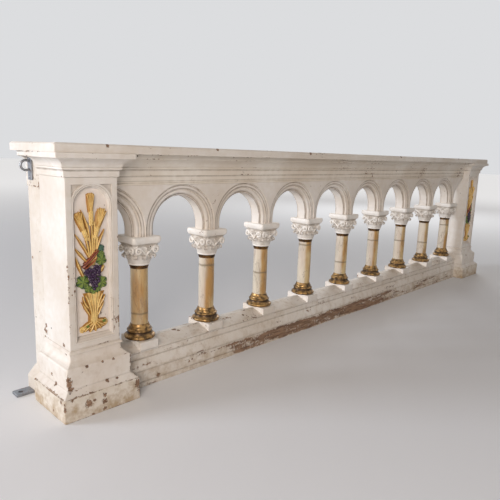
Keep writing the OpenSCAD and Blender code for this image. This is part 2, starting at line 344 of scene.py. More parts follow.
rail_low, rail_high = box_mm("base_rail")
half_depth, ridge = rail_high[1], rail_high[2]
front_half = [(0, ridge), (-58, ridge - 19), (-58, 117), (-54, 116), (-54, 91), (-57, 89.5),
              (-58, 86), (-66, 64), (-66, 57), (-63, 55), (-63, 15), (1 - half_depth, 14),
              (-half_depth, 13), (-half_depth, 0)]
back_half = [(-y, z) for y, z in reversed(front_half[1:])]
rail_knocks = [(-997, 0, 139, 9), (-985, -14, 136, 6), (-682, -26, 132, 6), (-1105, -66, 24, 9),
               (-976, -63, 34, 5), (-962, -63, 38, 4)]
rail_paint = oil_paint("brushed_oil_paint_scuffed_rail", "#ebe6df", "#ddd4c9", worn=0.25, dirt_and_shade=0.6,
                       scuffs=rail_knocks, fascia=True, stain=0.55)
piece("base_rail_body", [milled(front_half + back_half, rail_low[0], rail_high[0])],
      rail_paint, ["base_rail"])

# ---- Column blocks -------------------------------------------------------------------------
# Nine square softwood blocks let into the ridge of the base rail, one under each column.
# Their arrises are chipped, and the paint is whiter here because it was touched up.


def framed(profile, middle, half, radius=2.0, flank=7.0, ease=1.6):
    """A moulding profile of (out, z) points carried round a rectangle, from the bottom to the top.

    At each profile point the ring is a rectangle of half sizes half + out, and each of its corners
    is a quarter circle of the given radius between two flank points. The radius may be a function
    of z that gives one for each corner. The proud value is the larger of the profile's and the
    ring's."""
    points, along = eased(profile, ease, closed=False)
    out, z = points.T
    steps = 4
    turns = np.arange(4)[:, None] * 90 + np.linspace(0, 90, steps)
    turns = np.radians(turns)
    radius = radius(z) if callable(radius) else np.full((len(z), 4), float(radius))
    sign = np.array([(1, 1), (-1, 1), (-1, -1), (1, -1)])
    centre = sign[None] * (np.array(half)[None, None] + out[:, None, None] - radius[..., None])
    arc = np.stack([np.cos(turns), np.sin(turns)], -1)
    corner = centre[:, :, None] + radius[:, :, None, None] * arc[None]
    before = corner[:, :, :1] - flank * np.stack([-arc[:, :1, 1], arc[:, :1, 0]], -1)
    after = corner[:, :, -1:] + flank * np.stack([-arc[:, -1:, 1], arc[:, -1:, 0]], -1)
    ring = np.concatenate([before, corner, after], 2).reshape(len(out), -1, 2)
    grid = np.empty((*ring.shape[:2], 3))
    grid[..., :2] = ring + np.array(middle)
    grid[..., 2] = z[:, None]
    round_corner = np.tile([0] + [1] * steps + [0], 4) * 0.8
    proud = np.where(along[:, None] < 0, along[:, None], np.maximum(along[:, None], round_corner))
    return surface(grid, proud)


def upright(low, high, inset=4.0):
    """Profile of a plain block: its side, with the eased arrises at the top and the bottom."""
    return [(-inset, low), (0, low), (0, high), (-inset, high)]


block_low, block_high = box_mm("column_blocks")
column_x = np.array([plan_mm(f"column_{k}")[0][0] for k in range(1, 10)])
block_half = ((block_high[0] - column_x[-1]), (block_high[1] - block_low[1]) / 2)
block_paint = oil_paint("brushed_oil_paint_blocks", "#efebe6", "#e3dbd1", worn=0.2, dirt_and_shade=0.5)
piece("column_blocks_body",
      [framed(upright(block_low[2], block_high[2]), (x, 0), block_half, 1.5) for x in column_x],
      block_paint, ["column_blocks"])

# ---- Columns -------------------------------------------------------------------------------
# Turned shafts, painted as ochre marble under varnish, on turned bases with bronze gilding.
# A dark gilded necking ring sits under each capital.


def turned(profile, middle, around=56):
    """A profile of (radius, z) points turned about an upright axis."""
    radius, z = np.asarray(profile, float).T
    turn = full_turn(around)
    grid = np.empty((len(z), around, 3))
    grid[..., 0] = middle[0] + radius[:, None] * np.cos(turn)
    grid[..., 1] = middle[1] + radius[:, None] * np.sin(turn)
    grid[..., 2] = z[:, None]
    return surface(grid)


def bowl(radius, z, reach, start, end, steps=9):
    """Points of an arc in a turned profile, about (radius, z), from one angle to another."""
    turn = np.radians(np.linspace(start, end, steps))
    return np.stack([radius + reach * np.cos(turn), z + reach * np.sin(turn)], -1).tolist()


def varnished_marbling(name, joint_mm, seed, middle_mm, lit_side_paint):
    """Marbling in oil glazes under yellowed varnish: cream ground, ochre clouds drawn down the
    shaft, thin grey-brown veins, and one dark painted joint. It looks warm, wet and glossy.
    The last argument, from 0 to 1, is how strongly the side towards the left end is painted pale
    grey: a painted highlight where the key light from the left falls."""
    finish, tree, place = material(name)
    drawn = node(tree, "Mapping", {"Vector": place, "Location": (seed, 0.37 * seed, 0),
                                   "Scale": (1.0, 1.0, 0.28)}).outputs[0]
    ochre = noise(tree, drawn, 48, 4.0, Distortion=0.6)
    body = blend(tree, ramp(tree, ochre, 0.38, 0.58), "#d8c08c", "#b58947")
    split = node(tree, "SeparateXYZ", {0: place})
    ragged = maths(tree, "MULTIPLY_ADD", ochre, 0.016, split.outputs["X"])
    # painted highlight: the side towards the left end turns pale grey, where the light from the
    # left falls
    worn = ramp(tree, ragged, (middle_mm - 8) / 1000, (middle_mm - 15) / 1000, 0.0, lit_side_paint)
    body = blend(tree, worn, body, "#dcd9d3")
    body = blend(tree, ramp(tree, noise(tree, drawn, 30, 3.0), 0.52, 0.72, 0.0, 0.4), body,
                 "#a8a294")
    vein = noise(tree, drawn, 75, 7.0, Roughness=0.62, Distortion=1.1)
    away = maths(tree, "ABSOLUTE", maths(tree, "SUBTRACT", vein, 0.5))
    body = blend(tree, ramp(tree, away, 0.012, 0.0, 0.0, 0.5), body, "#6d5335")
    wave = maths(tree, "MULTIPLY_ADD", noise(tree, place, 25, 2.0), 0.006, split.outputs["Z"])
    gap = maths(tree, "ABSOLUTE", maths(tree, "SUBTRACT", wave, joint_mm / 1000 + 0.003))
    body = blend(tree, ramp(tree, gap, 0.0055, 0.001, 0.0, 0.7), body, "#6d5d40")
    return closed_with(finish, tree, body, 0.35, IOR=1.5, Coat_Weight=1.0, Coat_Roughness=0.16)


def bronze_gilding(name, bright, dull, polish):
    """Bronze powder paint over turned wood: a warm metal on the rounds, rubbed dull, with the
    hollows turned near-black brown, tarnish and painted shade together. polish is the roughness
    where it is least rubbed."""
    finish, tree, place = material(name)
    rub = noise(tree, place, 14, 4.0)
    metal = blend(tree, ramp(tree, rub, 0.38, 0.62), bright, dull)
    # painted shade with tarnish: the hollows turn near-black brown
    metal = blend(tree, ramp(tree, proud_value(tree), 0.0, -1.0, 0.0, 0.95), metal, "#2e1d0f")
    grit = bump(tree, noise(tree, place, 2.5, 2.0), 0.12, 0.0005)
    rough = ramp(tree, rub, 0.3, 0.7, polish, polish + 0.2)
    return closed_with(finish, tree, metal, rough, Metallic=0.65, Normal=grit)


def sunk_by_radius(profile):
    """Proud values for a turned profile: how far each point stands off the line between the
    points three places before and after it, so rounds are proud and hollows are sunk."""
    radius = np.asarray(profile, float)[:, 0]
    wide = np.pad(radius, 3, mode="edge")
    return np.clip((radius - (wide[:-6] + wide[6:]) / 2) / 3.0, -1, 1)[:, None]


column_low, column_high = box_mm("column_1")
seat, neck_top = column_low[2], column_high[2]
foot_profile = [(40, seat), *bowl(44.2, seat + 6.2, 6.0, -90, 85), (43.6, seat + 13.4),
                (41.2, seat + 16.5), (39.6, seat + 20), (38.9, seat + 23.4),
                *bowl(37.6, seat + 27, 3.6, -70, 80, 7), (36.8, seat + 31.6), (35.0, seat + 34),
                (34.6, seat + 38), (33.4, seat + 38.6), (31.4, seat + 42), (30.4, seat + 46.5),
                (28.8, seat + 49), (20, seat + 49)]
neck_profile = [(20, neck_top - 12), (28.2, neck_top - 12), (28.9, neck_top - 10.5),
                (28.3, neck_top - 9.5), *bowl(27.8, neck_top - 5.2, 2.6, -80, 80, 9),
                (28.2, neck_top - 1.5), (29.5, neck_top + 1), (20, neck_top + 1)]
shaft_profile = [(20, seat + 46),
                 *[(28 + 0.5 * math.sin(math.pi * t), seat + 46 + t * (neck_top - seat - 58))
                   for t in np.linspace(0, 1, 7)], (20, neck_top - 12)]
base_gilding = bronze_gilding("rubbed_bronze_powder_gilding", "#b08a54", "#54412a", polish=0.3)
neck_gilding = bronze_gilding("dark_bronze_necking", "#6a4a24", "#3c2814", polish=0.38)
joint_heights = [231, 352, 284, 366, 252, 330, 300, 262, 345]
for number, (x, joint) in enumerate(zip(column_x, joint_heights), 1):
    # column 1 stands in the pier's shadow, so its painted highlight is weaker
    marbling = varnished_marbling(f"varnished_ochre_marbling_{number}", joint, 1.7 * number, x,
                                  0.15 if number == 1 else 0.62)
    foot = turned(foot_profile, (x, 0))
    foot = (foot[0], foot[1], np.repeat(sunk_by_radius(foot_profile), 56, 1).reshape(-1))
    for suffix, part, finish, sharp in (("shaft", turned(shaft_profile, (x, 0)), marbling, 32),
                                        ("base", foot, base_gilding, 50),
                                        ("necking", turned(neck_profile, (x, 0)), neck_gilding,
                                         50)):
        piece(f"column_{number}_{suffix}", [part], finish, [f"column_{number}"],
              sharp, weighted=False)

# ---- Capitals ------------------------------------------------------------------------------
# Nine carved softwood capitals: a bell that turns from round to square, twelve small curled leaves,
# two large scrolls on each face that meet at the corners, and a thick abacus with rounded lobes.

capital_low, capital_high = box_mm("capital_1")
bell_foot, spring = capital_low[2], capital_high[2]
abacus_deep, scroll_y, scroll_reach = 31, 30.0, 11.0
abacus_foot = spring - abacus_deep
scroll_z = abacus_foot - 11.5


def carved_band(path, across, half_width, thick, edge_drop=0.0, ribs=0, rib_depth=0.0, grid_t=9):
    """A carved strip along a path: the section is crowned, (1 - t^2) of the edge drop, with
    cosine ribs, and closed underneath by the same section set back by the thickness.

    path (n, 3) is the middle line, across (n, 3) the direction of its width; the outward
    direction is the path's tangent crossed with across."""
    path, across = np.asarray(path, float), np.asarray(across, float)
    half_width = np.broadcast_to(half_width, len(path))[:, None]
    thick = np.broadcast_to(thick, len(path))[:, None]
    tangent = np.gradient(path, axis=0)
    out = np.cross(tangent, across)
    out /= np.linalg.norm(out, axis=1)[:, None]
    t = np.linspace(-1, 1, grid_t)[None]
    crown = -edge_drop * t**2 - rib_depth * (0.5 - 0.5 * np.cos(ribs * math.pi * t))
    wide, outward = across[:, None], out[:, None]
    top = path[:, None] + wide * (half_width * t)[..., None] + outward * crown[..., None]
    under = (path[:, None] + wide * (half_width * t[:, ::-1])[..., None]
             + outward * (crown[:, ::-1] - thick)[..., None])
    # the strip's edges and underside count as sunk, so the paint darkens there: painted shade with
    # grime
    proud_top = np.broadcast_to(1 - 1.6 * np.abs(t) ** 3, top.shape[:2])
    proud = np.concatenate([proud_top, np.full(under.shape[:2], -0.7)], 1)
    return surface(np.concatenate([top, under], 1), np.clip(proud, -1, 1))


def round_rod(path, radius, around=8):
    """A rod along a path: circles square to the path, spanned by its tangent crossed with the
    axis along which the path is shortest, and by the third direction."""
    path = np.asarray(path, float)
    tangent = unit_tangent(path)
    aside = np.cross(tangent, np.eye(3)[int(np.argmin(np.ptp(path, axis=0)))])
    aside /= np.linalg.norm(aside, axis=1)[:, None]
    return surface(rod_rings(path, aside, np.cross(tangent, aside), radius, around), 0.3)


def about_axis(part, degrees, middle_x=0.0):
    """Turns a surface about the upright axis at the origin, and moves it along X."""
    points, faces, proud = part
    x, y = rotated(points[:, 0], points[:, 1], degrees)
    return np.stack([x + middle_x, y, points[:, 2]], -1), faces, proud


def curled_leaf(foot_reach, foot_z, rise, lean, curl, half_width, rows=22):
    """A leaf in the plane y = 0: it rises along a parabola, then rolls outwards over an arc of
    250 degrees whose radius is curl and shrinks by half; its width swells and narrows in lobes."""
    s = np.linspace(0, 1, rows)
    up, roll = np.minimum(s / 0.6, 1), np.maximum((s - 0.6) / 0.4, 0)
    turn = np.radians(180 - 250 * roll)
    radius = curl * (1 - 0.45 * roll)
    reach = foot_reach + lean * up**2 + np.where(roll > 0, curl + radius * np.cos(turn), 0)
    height = foot_z + rise * up + np.where(roll > 0, radius * np.sin(turn), 0)
    path = np.stack([reach, 0 * s, height], -1)
    lobes = (0.75 + 0.35 * np.sin(math.pi * s)) * (1 + 0.14 * np.cos(9 * math.pi * s))
    across = np.tile([0.0, -1.0, 0.0], (rows, 1))
    return carved_band(path, across, half_width * lobes, 2.6, edge_drop=2.2, ribs=4, rib_depth=0.9)


def face_scroll(side):
    """One of the two scrolls on the face towards +X. A stem rises from the middle of the bell and
    runs into one and a quarter turns of a spiral, whose radius falls evenly from 11 to 6 mm."""
    s = np.linspace(0, 1, 48)
    stem, coil = np.minimum(s / 0.3, 1), np.maximum((s - 0.3) / 0.7, 0)
    start = math.radians(160)
    turn = start - np.radians(450 * coil)
    radius = scroll_reach - 5.0 * coil
    from_y = scroll_y + scroll_reach * math.cos(start)
    from_z = scroll_z + scroll_reach * math.sin(start)
    y = np.where(coil > 0, scroll_y + radius * np.cos(turn), -2 + (from_y + 2) * stem**1.4)
    z = np.where(coil > 0, scroll_z + radius * np.sin(turn), from_z - 30 + 30 * stem**0.8)
    x = 38.5 + 7.5 * stem + 1.2 * coil - 0.0016 * np.maximum(y - 26, 0) ** 2
    rod = np.interp(s, [0, 0.3, 0.5, 0.9, 1], [3.8, 3.0, 3.3, 2.6, 1.4])
    return round_rod(np.stack([x, side * y, z], -1), rod, 9)


def scroll_eye(side):
    """The boss in the middle of a scroll: half an ellipsoid on the face towards +X."""
    turn, rise = full_turn(12), np.radians(np.linspace(0, 84, 6))[:, None]
    reach = 2.9 * np.cos(rise)
    grid = np.stack([45.0 + 4.4 * np.sin(rise) + 0 * turn, side * scroll_y + reach * np.cos(turn),
                     scroll_z + reach * np.sin(turn)], -1)
    return surface(grid, 0.6)


def corner_ridge(rows=14):
    """The leaf that stands on the bell's corner, in the plane y = 0: a narrow keel that leans out
    to the abacus, under the two scrolls that meet there."""
    s = np.linspace(0, 1, rows)
    path = np.stack([36 + 21 * s**1.3, 0 * s, bell_foot + 24 + (abacus_foot - bell_foot - 23) * s],
                    -1)
    across = np.tile([0.0, -1.0, 0.0], (rows, 1))
    width = np.interp(s, [0, 0.2, 0.6, 1], [3.5, 7.5, 7.0, 9.0])
    return carved_band(path, across, width, 5.0, edge_drop=4.5)


def abacus_block(around=144):
    """The abacus in plan is a square with faintly hollow sides: along a turn from a face's middle
    the edge is D cos - sqrt(r^2 - D^2 sin^2), cut off softly at the corners to round lobes. In
    section the side is a deep round over a hollow that runs in to the bell."""
    turn = full_turn(around)
    from_face = (turn + math.pi / 4) % (math.pi / 2) - math.pi / 4
    hollow, half = 330.0, 49.5
    centre = half + hollow
    inside = hollow**2 - (centre * np.sin(from_face)) ** 2
    side = np.where(inside > 0, centre * np.cos(from_face) - np.sqrt(np.maximum(inside, 0)), 200.0)
    edge = -1.6 * np.log(np.exp(-np.minimum(side, 120) / 1.6) + math.exp(-71.5 / 1.6))
    lobe = np.abs(from_face) / (math.pi / 4)
    z = abacus_foot + np.array([0, 2.5, 5, 7.5, 9, 10.5, 13, 16, 19, 22, 25, 27.5, 29.5, 30.6, 31])
    back = np.array([15, 13.8, 11.8, 8.6, 5.6, 4.4, 2.2, 0.8, 0.1, 0, 0.3, 1.0, 2.2, 3.6, 5.0])
    mid_height = np.sin(np.linspace(0, math.pi, len(z)))[:, None]
    ripple = 0.6 * np.cos(28 * turn) * lobe[None] ** 2 * mid_height
    reach = edge[None] - back[:, None] * (0.75 + 0.25 * lobe[None]) + ripple
    grid = np.stack([reach * np.cos(turn), reach * np.sin(turn), np.repeat(z[:, None], around, 1)],
                    -1)
    # painted shade: the hollow under the abacus's round counts as sunk, so the paint darkens under
    # it
    proud = np.interp(z, [abacus_foot, abacus_foot + 8, abacus_foot + 11, spring],
                      [-0.6, -0.8, 0.1, 0.5])
    return surface(grid, proud[:, None] + 0 * reach)


def capital_bell(around=72):
    """The bell: round at its foot and squarer towards the abacus. Its outline in plan is the
    superellipse a / (|cos|^p + |sin|^p)^(1/p), and a and p grow with height."""
    turn = full_turn(around)
    t = np.concatenate([[0, 0, 0.02, 0.05, 0.08], np.linspace(0.1, 1, 10)])[:, None]
    width = 32.0 + 13.0 * np.clip(t, 0, 1) ** 1.1
    width[:5, 0] = [24, 31.5, 33.8, 34.2, 32.6]
    power = 2 + 2.8 * t
    reach = width / (np.abs(np.cos(turn)) ** power + np.abs(np.sin(turn)) ** power) ** (1 / power)
    z = bell_foot + t * (abacus_foot + 1 - bell_foot) + 0 * turn
    # painted shade: above its foot the bell counts as sunk, so the paint darkens it
    return surface(np.stack([reach * np.cos(turn), reach * np.sin(turn), z], -1),
                   np.where(t < 0.09, 0.3, -0.4) + 0 * turn)


corner_leaf = curled_leaf(34.0, bell_foot + 8, 20, 9.5, 3.6, 7.5)
side_leaf = curled_leaf(34.0, bell_foot + 8, 20, 5.8, 3.6, 7.5)
bud = curled_leaf(40.0, abacus_foot - 22, 15, 4.5, 3.0, 4.5)
one_capital = [capital_bell(), abacus_block()]
for face in (0, 90, 180, 270):
    one_capital += [about_axis(side_leaf, face - 15), about_axis(side_leaf, face + 15),
                    about_axis(bud, face), about_axis(corner_leaf, face + 45),
                    about_axis(corner_ridge(), face + 45)]
    for side in (-1, 1):
        one_capital += [about_axis(face_scroll(side), face), about_axis(scroll_eye(side), face)]
carving_paint = oil_paint("oil_paint_over_carving", "#f4f1ec", "#ece7e0", worn=0.1, dirt_and_shade=0.65)
for number, x in enumerate(column_x, 1):
    piece(f"capital_{number}_carving", [about_axis(part, 0, x) for part in one_capital],
          carving_paint, [f"capital_{number}"], sharp=55, weighted=False)

# ---- Arches --------------------------------------------------------------------------------
# Ten moulded arches cut from the thickness of the wall, eight whole and a half one at each pier.
# From the opening outwards: a narrow band, a bold roll between two hollows, a flat and a groove.

wall_half = box_mm("arch_2")[1][1]
bay = column_x[1] - column_x[0]
frieze = box_mm("entablature")[0][2]
centre_z = frieze - bay / 2 - 0.25
opening, band_edge = bay / 2 - 38.75, bay / 2 - 0.45

roll_turns = np.radians(np.linspace(72, -72, 9))
front_moulding = [(band_edge, -wall_half), (band_edge - 1.9, -wall_half + 6.5),
                  (band_edge - 4.0, -wall_half + 3.2), (126.6, -wall_half + 4.6),
                  (125.4, -wall_half + 10), *[(118 + 6.8 * math.sin(a), -25.6 - 6.8 * math.cos(a))
                                              for a in roll_turns], (110.2, -18.5), (108.6, -22),
                  (opening, -21)]
arch_outline = front_moulding + [(r, -y) for r, y in reversed(front_moulding)]
arch_section, arch_proud = eased(arch_outline, 1.2, 4.0, closed=False)


def moulded_arch(middle, first_turn, last_turn):
    """An arch from one turn to another, in degrees from the right-hand springing: upright below
    the centre, then round it. The moulding lies at its radius along each ray, and two more
    points carry the flat wall out to the bay's rectangle, at min(w / |cos|, h / sin)."""
    width, rise = bay / 2, frieze - centre_z
    corner = math.degrees(math.atan2(rise, width))
    turns = np.unique(np.concatenate([np.linspace(0, 180, 61), [corner, 180 - corner]]))
    turns = np.radians(turns[(turns >= first_turn) & (turns <= last_turn)])
    reach = ray_to_box(np.cos(turns), np.sin(turns), width, rise)
    heights = np.full(len(turns), centre_z)
    if first_turn <= 0:
        turns, reach = np.concatenate([[0], turns]), np.concatenate([[width], reach])
        heights = np.concatenate([[spring], heights])
    if last_turn >= 180:
        turns, reach = np.concatenate([turns, [math.pi]]), np.concatenate([reach, [width]])
        heights = np.concatenate([heights, [spring]])
    radius = np.concatenate([reach[:, None], np.tile(arch_section[:, 0], (len(turns), 1)),
                             reach[:, None]], 1)
    depth = np.concatenate([[-wall_half], arch_section[:, 1], [wall_half]])
    grid = np.stack([middle + radius * np.cos(turns)[:, None],
                     np.broadcast_to(depth, radius.shape),
                     heights[:, None] + radius * np.sin(turns)[:, None]], -1)
    return surface(grid, np.concatenate([[0], arch_proud, [0]])[None])


arch_paint = oil_paint("brushed_oil_paint_arches", "#ebe6e0", "#ded5ca", worn=0.25, dirt_and_shade=0.75)
for number in range(1, 11):
    middle = column_x[0] + (number - 1.5) * bay
    first_turn, last_turn = (0, 100) if number == 1 else (80, 180) if number == 10 else (0, 180)
    piece(f"arch_{number}_moulding", [moulded_arch(middle, first_turn, last_turn)], arch_paint,
          [f"arch_{number}"], sharp=40)

# ---- Entablature ---------------------------------------------------------------------------
# One long run of stuck moulding on both sides of the wall: a fine roll over the arches, a frieze,
# a shallow fascia, then a bead and a wide cove up to the fillet under the slab.

frieze_low, frieze_high = box_mm("entablature")
under_slab = frieze_high[2]
crown_foot = under_slab - 64
cove_turns = np.radians(np.linspace(172, 90, 10))
crown_mouldings = [(5, crown_foot + 0.6), (5, crown_foot + 18.6), (7.2, crown_foot + 19.4),
                   *bowl(7.6, crown_foot + 22.6, 3.5, -70, 70, 7), (8.4, crown_foot + 26.4),
                   *[(39 + 28 * math.cos(a), crown_foot + 22 + 28 * math.sin(a))
                     for a in cove_turns], (39, under_slab)]
frieze_front = [(0, frieze - 2), *bowl(0.4, frieze + 0.6, 3.0, -80, 80, 7), (0, frieze + 4.2),
                (0, crown_foot - 16), (2.2, crown_foot - 14.5), (2.2, crown_foot - 0.5)]
side_up = [(wall_half + out, z) for out, z in frieze_front + crown_mouldings]
wall_outline = side_up + [(-y, z) for y, z in reversed(side_up)]
long_paint = oil_paint("brushed_oil_paint_long_run", "#ebe5db", "#dcd1c2", worn=0.35, dirt_and_shade=0.6)
piece("entablature_moulding", [milled(wall_outline, frieze_low[0], frieze_high[0], 1.2)],
      long_paint, ["entablature"])

# ---- Piers ---------------------------------------------------------------------------------
# A pier is boxed up from boards on a plinth and a stepped base. Its front has a sunk panel with a
# round head, a bead round it, a sloped sill, and a sunk triangle in each upper corner.


def worn_corner(seed, least, most):
    """Radii for the four upright corners of a block at any height: a smooth random curve."""
    knots = np.random.default_rng(seed).uniform(0, 1, (4, 14)) ** 3

    def radii(z):
        share = np.interp(z, [z.min(), z.max()], [0, 13])
        curves = np.stack([np.interp(share, range(14), row) for row in knots], -1)
        return least + (most - least) * curves

    return radii


def between(low, high, step):
    """A plain block's profile with extra points up its side, so that its corners can wear."""
    heights = np.linspace(low, high, int((high - low) / step) + 2)
    return [(-4, low), *[(0, z) for z in heights], (-4, high)]


def pier_body(middle_x, front_y, back_y, low, high, half, arch_z):
    """The pier's front is a grid between the panel and the pier's edge. One direction runs round
    the panel: up the left side, round the head, down the right, and back along the sill. The
    other steps in from the pier's back arris, over the front face and the sunk triangles, and
    down the moulding to the field, which one face closes."""
    panel_half, field_half, foot, sill_rise, deep = 60.0, 48.6, 209.0, 13.0, 20.0
    ledge = panel_half + 4.9
    corner = math.degrees(math.atan2(high - arch_z, half))
    head = np.radians(np.unique(np.concatenate([np.linspace(0, 180, 61),
                                                [corner, 180 - corner]])))[::-1]
    sides = np.linspace(0, 1, 12)
    # each sample: unit direction of offset (x, z), share along its side, and whether it is sill
    on_head = np.stack([np.cos(head), np.sin(head)], -1)[1:-1]
    on_left, on_right, on_sill = (np.tile(unit, (len(sides), 1))
                                  for unit in ((-1.0, 0), (1.0, 0), (0, -1.0)))
    way = np.concatenate([on_left, on_head, on_right, on_sill])
    share = np.concatenate([sides, 0 * head[1:-1] + 1, sides[::-1], 1 - 2 * sides])
    sill = np.arange(len(way)) >= len(way) - len(sides)
    on_side = (np.abs(way[:, 0]) == 1) & ~sill

    def ring(offset, foot_z, depth, foot_depth):
        x = np.where(sill, share * offset, way[:, 0] * offset)
        z = np.where(on_side, foot_z + share * (arch_z - foot_z), arch_z + way[:, 1] * offset)
        z = np.where(sill, foot_z, z)
        return np.stack([middle_x + x, front_y + np.where(sill, foot_depth, depth), z], -1)

    def edge(inset, depth):
        reach = ray_to_box(*way.T, half - inset, high - inset - arch_z)
        x = np.where(sill, share * (half - inset),
                     way[:, 0] * np.where(on_side, half - inset, reach))
        z = np.where(on_side, low + inset + share * (arch_z - low - inset),
                     arch_z + way[:, 1] * reach)
        z = np.where(sill, low + inset, z)
        return np.stack([middle_x + x, front_y + depth + 0 * x, z], -1)

    frame_reach = np.maximum(ray_to_box(*way.T, panel_half, panel_half), ledge)
    triangle = np.where(sill | on_side, ledge, frame_reach)
    sunk = 4.5 * np.clip((triangle - ledge - 0.1) / 3.0, 0, 1)
    moulding = [(ledge - 0.6, 0), (panel_half, 0), (59.5, 0.9), (59.2, 3.6),
                *[(57.2 + 1.9 * math.cos(a), 3.4 - 3.0 * math.sin(a))
                  for a in np.radians([15, 55, 90, 125, 165])], (55.0, 4.2), (54.0, 4.4),
                (51.8, 6.4), (50.4, 9.0), (49.9, 11.5), (field_half, 13), (field_half - 1.5, deep)]
    section, section_proud = eased([(h, -d) for h, d in moulding], 0.9, 2.5, closed=False)
    rings = [edge(0, back_y - front_y), edge(0, 7), edge(0, 1.6), edge(0.5, 0.5), edge(1.6, 0),
             edge(7, 0), ring(triangle + 0.7, foot - 5.5, 0, 0),
             ring(triangle, foot - 5.2, sunk, 0),
             ring(ledge - 0.2 + 0 * triangle, foot - 4.9, sunk, 0)]
    # the sunk triangles count as sunk, so the paint darkens them: painted shade with grime
    proud = [0, 0, 1, 1, 1, 0, 0.4, -0.5, -0.5]
    for (h, minus_depth), value in zip(section, section_proud):
        inward = np.clip((panel_half - h) / (panel_half - field_half), -0.3, 1.1)
        rings.append(ring(h, foot + sill_rise * inward, -minus_depth, max(0.0, 17.5 * inward)
                          if inward < 1 else deep))
        proud.append(value)
    grid = np.stack(rings)
    return surface(grid, np.array(proud, float)[:, None])


cove_reach = 27
base_profile = [(-4, 69), (40, 69), (24.5, 82.5), (23, 84.5), (23, 142.5), (21.5, 144.5),
                *[(30 + cove_reach * math.cos(a), 172 + cove_reach * math.sin(a))
                  for a in np.radians(np.linspace(-110, -180, 8))], (3.2, 176),
                *bowl(2.2, 182, 4.2, -70, 70, 6), (0.8, 188.5), (0.8, 190), (-4, 190)]
crown_profile = [(-4, crown_foot), (4, crown_foot)] + crown_mouldings + [(-4, under_slab)]
seam, overhang, panel_spring = 79.0, 27, crown_foot - 80
plinth_knocks = [(-1429, -121, 64, 4), (-1363, -121, 44, 5), (-1330, -121, 50, 7),
                 (-1331, -121, 30, 9), (-1331, -121, 8, 6), (-1368, -121, 2, 5),
                 (-1452, -121, 42, 8), (-1215, -121, 52, 17), (-1213, -110, 38, 14),
                 (-1452, -49, 16, 4), (-1452, -100, 60, 7), (-1380, -121, 40, 12),
                 (1452, -121, 40, 10), (1420, -121, 12, 6)]
base_knocks = [(-1374, -102, 143, 5), (-1430, -102, 118, 8), (-1427, -102, 104, 10),
               (-1424, -103, 90, 9), (-1313, -104, 83, 6), (-1281, -105, 82, 5),
               (-1324, -101, 144, 4), (-1290, -101, 143, 4), (-1432, -31, 85, 7),
               (-1432, -4, 104, 6), (-1425, -80, 161, 6), (-1411, -58, 177, 5),
               (1432, -102, 110, 9), (1290, -102, 142, 6)]
pier_knocks = [(-1410, -39, 196, 7), (-1410, 74, 226, 7), (-1410, 74, 206, 8), (-1410, 76, 185, 7),
               (-1410, 76, 160, 7), (-1410, 76, 138, 8), (-1410, -76, 430, 4), (-1410, -77, 330, 4),
               (-1255, -79, 500, 3), (1255, -79, 402, 4)]
plinth_paint = oil_paint("oil_paint_on_plinths", "#e9e3d9", "#d6cab9", worn=0.75, dirt_and_shade=0.7,
                         stain=0.8, scuffs=plinth_knocks)
base_paint = oil_paint("oil_paint_on_pier_bases", "#ece7e0", "#dfd5ca", worn=0.6, dirt_and_shade=0.6,
                       stain=0.3, scuffs=base_knocks)
pier_paint = oil_paint("oil_paint_on_piers", "#ece8e2", "#e0d8ce", worn=0.4, dirt_and_shade=0.65,
                       scuffs=pier_knocks)
for side, seed in (("left", 5), ("right", 11)):
    pier_low, pier_high = box_mm(f"{side}_pier")
    (pier_x, pier_y), pier_half = plan_mm(f"{side}_pier")
    block = framed(between(0, box_mm(f"{side}_plinth")[1][2], 6), *plan_mm(f"{side}_plinth"),
                   worn_corner(seed, 1.5, 9))
    piece(f"{side}_plinth_block", [block], plinth_paint, [f"{side}_plinth"])
    base = framed(base_profile, (pier_x, pier_y), pier_half, worn_corner(seed + 1, 1.2, 6))
    crown = framed(crown_profile, (pier_x, pier_y), pier_half, 1.0, ease=1.2)
    body = pier_body(pier_x, pier_low[1], pier_high[1], pier_low[2], pier_high[2], pier_half[0],
                     panel_spring)
    crown_parts = [crown]
    if side == "left":
        # the mouldings stop against the post behind the pier, and a board covers both
        for moulding in (base, crown):
            moulding[0][:, 1] = np.minimum(moulding[0][:, 1], seam)
        post_high = box_mm("back_post")[1]
        board_half = ((pier_high[0] - pier_low[0] + overhang) / 2, 80)
        board_foot = under_slab - 14
        crown_parts.append(framed(upright(board_foot, under_slab),
                                  (pier_low[0] - overhang + board_half[0], 80), board_half, 1.5))
        bracket_low, face_x = under_slab - 40, pier_low[0] - 0.2
        hollow = [(pier_low[0] - overhang + 25.5 * math.cos(a), bracket_low + 25.5 * math.sin(a))
                  for a in np.radians(np.linspace(90, 0, 9))]
        section, section_proud = eased([*hollow, (face_x, bracket_low), (face_x, board_foot - 0.2),
                                        (pier_low[0] - overhang, board_foot - 0.2)], 0.5, 2.0)
        crown_parts.append(surface(carried(section, (146.2, 159.6)), section_proud))
    piece(f"{side}_pier_base_moulding", [base], base_paint, [f"{side}_pier_base"])
    piece(f"{side}_pier_body", [body], pier_paint, [f"{side}_pier"])
    piece(f"{side}_crown_moulding", crown_parts, pier_paint, [f"{side}_crown"])

# ---- Carved panels -------------------------------------------------------------------------
# A sheaf of bearded wheat, carved in low relief and gilded, bound with a red ribbon, with a bunch
# of grapes and vine leaves at the tie, over a scrolled mound. Painted in oils, glossy with age.


ground_deep, relief_share = 11, 0.8


def on_ground(points, middle_x, front_y):
    """Points given as (across, height over the floor, lift) in the part's frame. The ground lies
    ground_deep behind the pier's front, and the carving stands relief_share of its lift over it."""
    points = np.asarray(points, float)
    depth = front_y + ground_deep - relief_share * points[..., 2]
    return np.stack([middle_x + points[..., 0], depth, points[..., 1]], -1)


